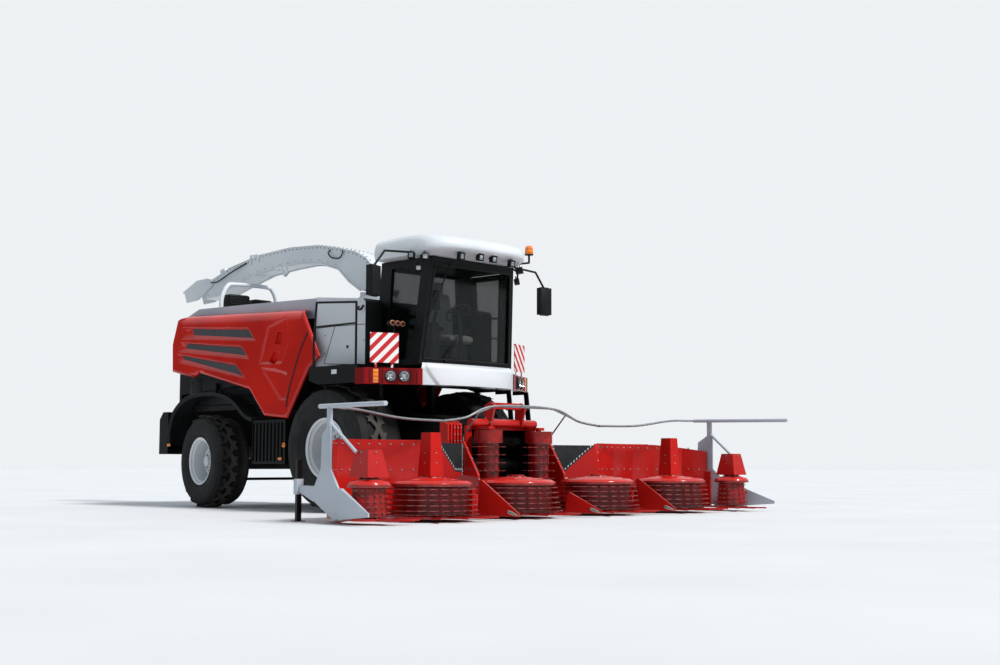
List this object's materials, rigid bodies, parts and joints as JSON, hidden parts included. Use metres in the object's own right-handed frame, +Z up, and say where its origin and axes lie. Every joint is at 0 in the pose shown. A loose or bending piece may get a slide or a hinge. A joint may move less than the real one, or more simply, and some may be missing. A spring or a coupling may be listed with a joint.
{
  "type": "self-propelled forage harvester with a rotary maize header",
  "caption": "Forage harvester with a swivelling discharge spout, hollow cab, louvred red side panels and a wide folding maize header with toothed drums.",
  "frame": {"origin": "on the ground in the middle of the bounding box: midway between the header's guard tubes and the spout's end", "axes": "+Y to the machine's rear along the spout, the header's drums towards -Y, +X to the machine's left side, +Z up"},
  "size_m": [8.1948, 10.0154, 4.3],
  "materials": {
    "chassis_paint": "satin black paint on frame, axles and engine",
    "red_paint": "gloss red paint",
    "drum_paint": "satin dark red paint with bare worn edges",
    "white_paint": "gloss white paint",
    "silver_paint": "silver grey paint",
    "rim_paint": "light grey rim paint",
    "tyre_rubber": "matt black rubber with dry earth in the tread",
    "sheet_rubber": "matt black rubber sheet",
    "black_plastic": "grained black plastic",
    "seat_fabric": "grey seat fabric",
    "window_glass": "tinted clear glass",
    "lamp_lens": "clear and coloured lamp lenses",
    "board_film": "red and white reflecting film",
    "rod_chrome": "polished ram",
    "galvanised": "galvanised tube"
  },
  "bodies": {
    "chassis": {"frame": "chassis_paint", "engine": "chassis_paint", "chopper": "chassis_paint", "rear_axle": "chassis_paint", "cab_frame": "chassis_paint", "cab_roof": "white_paint", "cab_glass": "window_glass", "cab_interior": "seat_fabric", "rails_and_mirrors": "black_plastic", "lamps": "lamp_lens", "apron": "white_paint", "lamp_panels": "red_paint", "warning_boards": "board_film", "cowl": "white_paint", "platform": "chassis_paint", "ladder": "chassis_paint", "hood": "silver_paint", "rear_body": "chassis_paint", "mudguards": "black_plastic"},
    "front_wheel_left": {"tyre_front_left": "tyre_rubber", "rim_front_left": "rim_paint"},
    "rear_wheel_left": {"tyre_rear_left": "tyre_rubber", "rim_rear_left": "rim_paint"},
    "knuckle_left": {"knuckle_left": "chassis_paint"},
    "front_wheel_right": {"tyre_front_right": "tyre_rubber", "rim_front_right": "rim_paint"},
    "rear_wheel_right": {"tyre_rear_right": "tyre_rubber", "rim_rear_right": "rim_paint"},
    "knuckle_right": {"knuckle_right": "chassis_paint"},
    "tie_rod": {"tie_rod": "chassis_paint"},
    "door": {"cab_door": "chassis_paint", "door_glass": "window_glass"},
    "side_panel_left": {"side_panel_left": "red_paint"},
    "side_panel_right": {"side_panel_right": "red_paint"},
    "turret": {"spout_turret": "white_paint"},
    "spout": {"spout_arch": "white_paint"},
    "flap": {"spout_flap": "white_paint"},
    "spout_cylinder": {"spout_barrel": "chassis_paint"},
    "spout_ram": {"spout_rod": "rod_chrome"},
    "header": {"feeder_house": "chassis_paint", "header_frame": "red_paint", "rubber_sheet_left": "sheet_rubber", "rubber_sheet_right": "sheet_rubber", "guard_centre": "galvanised"},
    "lift_cylinders": {"lift_barrels": "chassis_paint"},
    "lift_rams": {"lift_rods": "rod_chrome"},
    "wing_left": {"wing_left": "red_paint", "guard_left": "silver_paint"},
    "stand_left": {"stand_left": "chassis_paint"},
    "feed_drum_left": {"feed_drum_left": "drum_paint"},
    "wing_right": {"wing_right": "red_paint", "guard_right": "silver_paint"},
    "stand_right": {"stand_right": "chassis_paint"},
    "feed_drum_right": {"feed_drum_right": "drum_paint"},
    "drum_1": {"drum_1": "drum_paint"},
    "drum_2": {"drum_2": "drum_paint"},
    "drum_3": {"drum_3": "drum_paint"},
    "drum_4": {"drum_4": "drum_paint"},
    "drum_5": {"drum_5": "drum_paint"},
    "drum_6": {"drum_6": "drum_paint"}
  },
  "joints": [
    {"name": "front_wheel_left_spin", "type": "hinge", "parent": "chassis", "child": "front_wheel_left", "pos_m": [1.2, -0.82232, 0.925], "axis": [1, 0, 0], "continuous": true},
    {"name": "steer_left", "type": "hinge", "parent": "chassis", "child": "knuckle_left", "pos_m": [0.81, 2.44268, 0.745], "axis": [0, 0, 1], "range_deg": [-30, 46]},
    {"name": "rear_wheel_left_spin", "type": "hinge", "parent": "knuckle_left", "child": "rear_wheel_left", "pos_m": [1.15659, 2.39397, 0.745], "axis": [0.9903, -0.1392, 0], "continuous": true},
    {"name": "front_wheel_right_spin", "type": "hinge", "parent": "chassis", "child": "front_wheel_right", "pos_m": [-1.2, -0.82232, 0.925], "axis": [1, 0, 0], "continuous": true},
    {"name": "steer_right", "type": "hinge", "parent": "chassis", "child": "knuckle_right", "pos_m": [-0.81, 2.44268, 0.745], "axis": [0, 0, 1], "range_deg": [-30, 46]},
    {"name": "rear_wheel_right_spin", "type": "hinge", "parent": "knuckle_right", "child": "rear_wheel_right", "pos_m": [-1.15659, 2.49139, 0.745], "axis": [0.9903, -0.1392, 0], "continuous": true},
    {"name": "tie_rod_pin", "type": "hinge", "parent": "knuckle_left", "child": "tie_rod", "pos_m": [0.77381, 2.18521, 0.458], "axis": [0, 0, 1], "range_deg": [-46, 30]},
    {"name": "door_hinge", "type": "hinge", "parent": "chassis", "child": "door", "pos_m": [0.94916, -1.41332, 2.46], "axis": [-0.0708, 0, 0.9975], "range_deg": [0, 65]},
    {"name": "panel_left_lid", "type": "hinge", "parent": "chassis", "child": "side_panel_left", "pos_m": [1.215, 0.37768, 3.02474], "axis": [0, -0.9992, -0.0398], "range_deg": [0, 70]},
    {"name": "panel_right_lid", "type": "hinge", "parent": "chassis", "child": "side_panel_right", "pos_m": [-1.215, 0.37768, 3.02474], "axis": [0, 0.9992, 0.0398], "range_deg": [0, 70]},
    {"name": "spout_slew", "type": "hinge", "parent": "chassis", "child": "turret", "pos_m": [0, -0.18232, 3.21], "axis": [0, 0, 1], "range_deg": [-105, 105]},
    {"name": "spout_lift", "type": "hinge", "parent": "turret", "child": "spout", "pos_m": [0, -0.43732, 3.42], "axis": [1, 0, 0], "range_deg": [0, 25]},
    {"name": "flap_turn", "type": "hinge", "parent": "spout", "child": "flap", "pos_m": [0, 4.10768, 3.9], "axis": [1, 0, 0], "range_deg": [-50, 0]},
    {"name": "spout_cylinder_pivot", "type": "hinge", "parent": "turret", "child": "spout_cylinder", "pos_m": [0, 0.03768, 3.306], "axis": [1, 0, 0], "range_deg": [0, 31.58]},
    {"name": "spout_cylinder_slide", "type": "slide", "parent": "spout_cylinder", "child": "spout_ram", "axis": [0, 0.817, 0.5766], "range_m": [0, 0.1953]},
    {"name": "header_lift", "type": "hinge", "parent": "chassis", "child": "header", "pos_m": [0, -1.47232, 1], "axis": [-1, 0, 0], "range_deg": [0, 22]},
    {"name": "lift_cylinder_pivot", "type": "hinge", "parent": "chassis", "child": "lift_cylinders", "pos_m": [0, -0.92232, 0.5], "axis": [1, 0, 0], "range_deg": [-14.05, 0]},
    {"name": "lift_cylinder_slide", "type": "slide", "parent": "lift_cylinders", "child": "lift_rams", "axis": [0, -0.9926, -0.1211], "range_m": [0, 0.203]},
    {"name": "wing_left_fold", "type": "hinge", "parent": "header", "child": "wing_left", "pos_m": [1.63, -3.62232, 0.36], "axis": [0, -1, 0], "range_deg": [0, 90], "deforming": ["rubber_sheet_left"]},
    {"name": "stand_left_slide", "type": "slide", "parent": "wing_left", "child": "stand_left", "axis": [0, 0, 1], "range_m": [0, 0.3]},
    {"name": "feed_drum_left_spin", "type": "hinge", "parent": "header", "child": "feed_drum_left", "pos_m": [0.512, -3.11232, 0.5], "axis": [0, 0, 1], "continuous": true},
    {"name": "wing_right_fold", "type": "hinge", "parent": "header", "child": "wing_right", "pos_m": [-1.63, -3.62232, 0.36], "axis": [0, 1, 0], "range_deg": [0, 90], "deforming": ["rubber_sheet_right"]},
    {"name": "stand_right_slide", "type": "slide", "parent": "wing_right", "child": "stand_right", "axis": [0, 0, 1], "range_m": [0, 0.3]},
    {"name": "feed_drum_right_spin", "type": "hinge", "parent": "header", "child": "feed_drum_right", "pos_m": [-0.512, -3.11232, 0.5], "axis": [0, 0, 1], "continuous": true},
    {"name": "drum_1_spin", "type": "hinge", "parent": "wing_right", "child": "drum_1", "pos_m": [-3.657, -4.25232, 0.3], "axis": [0, 0, 1], "continuous": true},
    {"name": "drum_2_spin", "type": "hinge", "parent": "wing_right", "child": "drum_2", "pos_m": [-2.432, -3.99632, 0.3], "axis": [0, 0, 1], "continuous": true},
    {"name": "drum_3_spin", "type": "hinge", "parent": "header", "child": "drum_3", "pos_m": [-0.832, -3.93932, 0.3], "axis": [0, 0, 1], "continuous": true},
    {"name": "drum_4_spin", "type": "hinge", "parent": "header", "child": "drum_4", "pos_m": [0.832, -3.93932, 0.3], "axis": [0, 0, 1], "continuous": true},
    {"name": "drum_5_spin", "type": "hinge", "parent": "wing_left", "child": "drum_5", "pos_m": [2.432, -3.99632, 0.3], "axis": [0, 0, 1], "continuous": true},
    {"name": "drum_6_spin", "type": "hinge", "parent": "wing_left", "child": "drum_6", "pos_m": [3.657, -4.25232, 0.3], "axis": [0, 0, 1], "continuous": true}
  ],
  "couplings": [
    {"joint": "steer_right", "follows": "steer_left", "ratio": 1},
    {"joint": "tie_rod_pin", "follows": "steer_left", "ratio": -1},
    {"joint": "spout_cylinder_pivot", "follows": "spout_lift", "ratio": 1.2233},
    {"joint": "spout_cylinder_slide", "follows": "spout_lift", "m_per_rad": 0.43609},
    {"joint": "lift_cylinder_pivot", "follows": "header_lift", "ratio": -0.59311},
    {"joint": "lift_cylinder_slide", "follows": "header_lift", "m_per_rad": 0.50254}
  ]
}
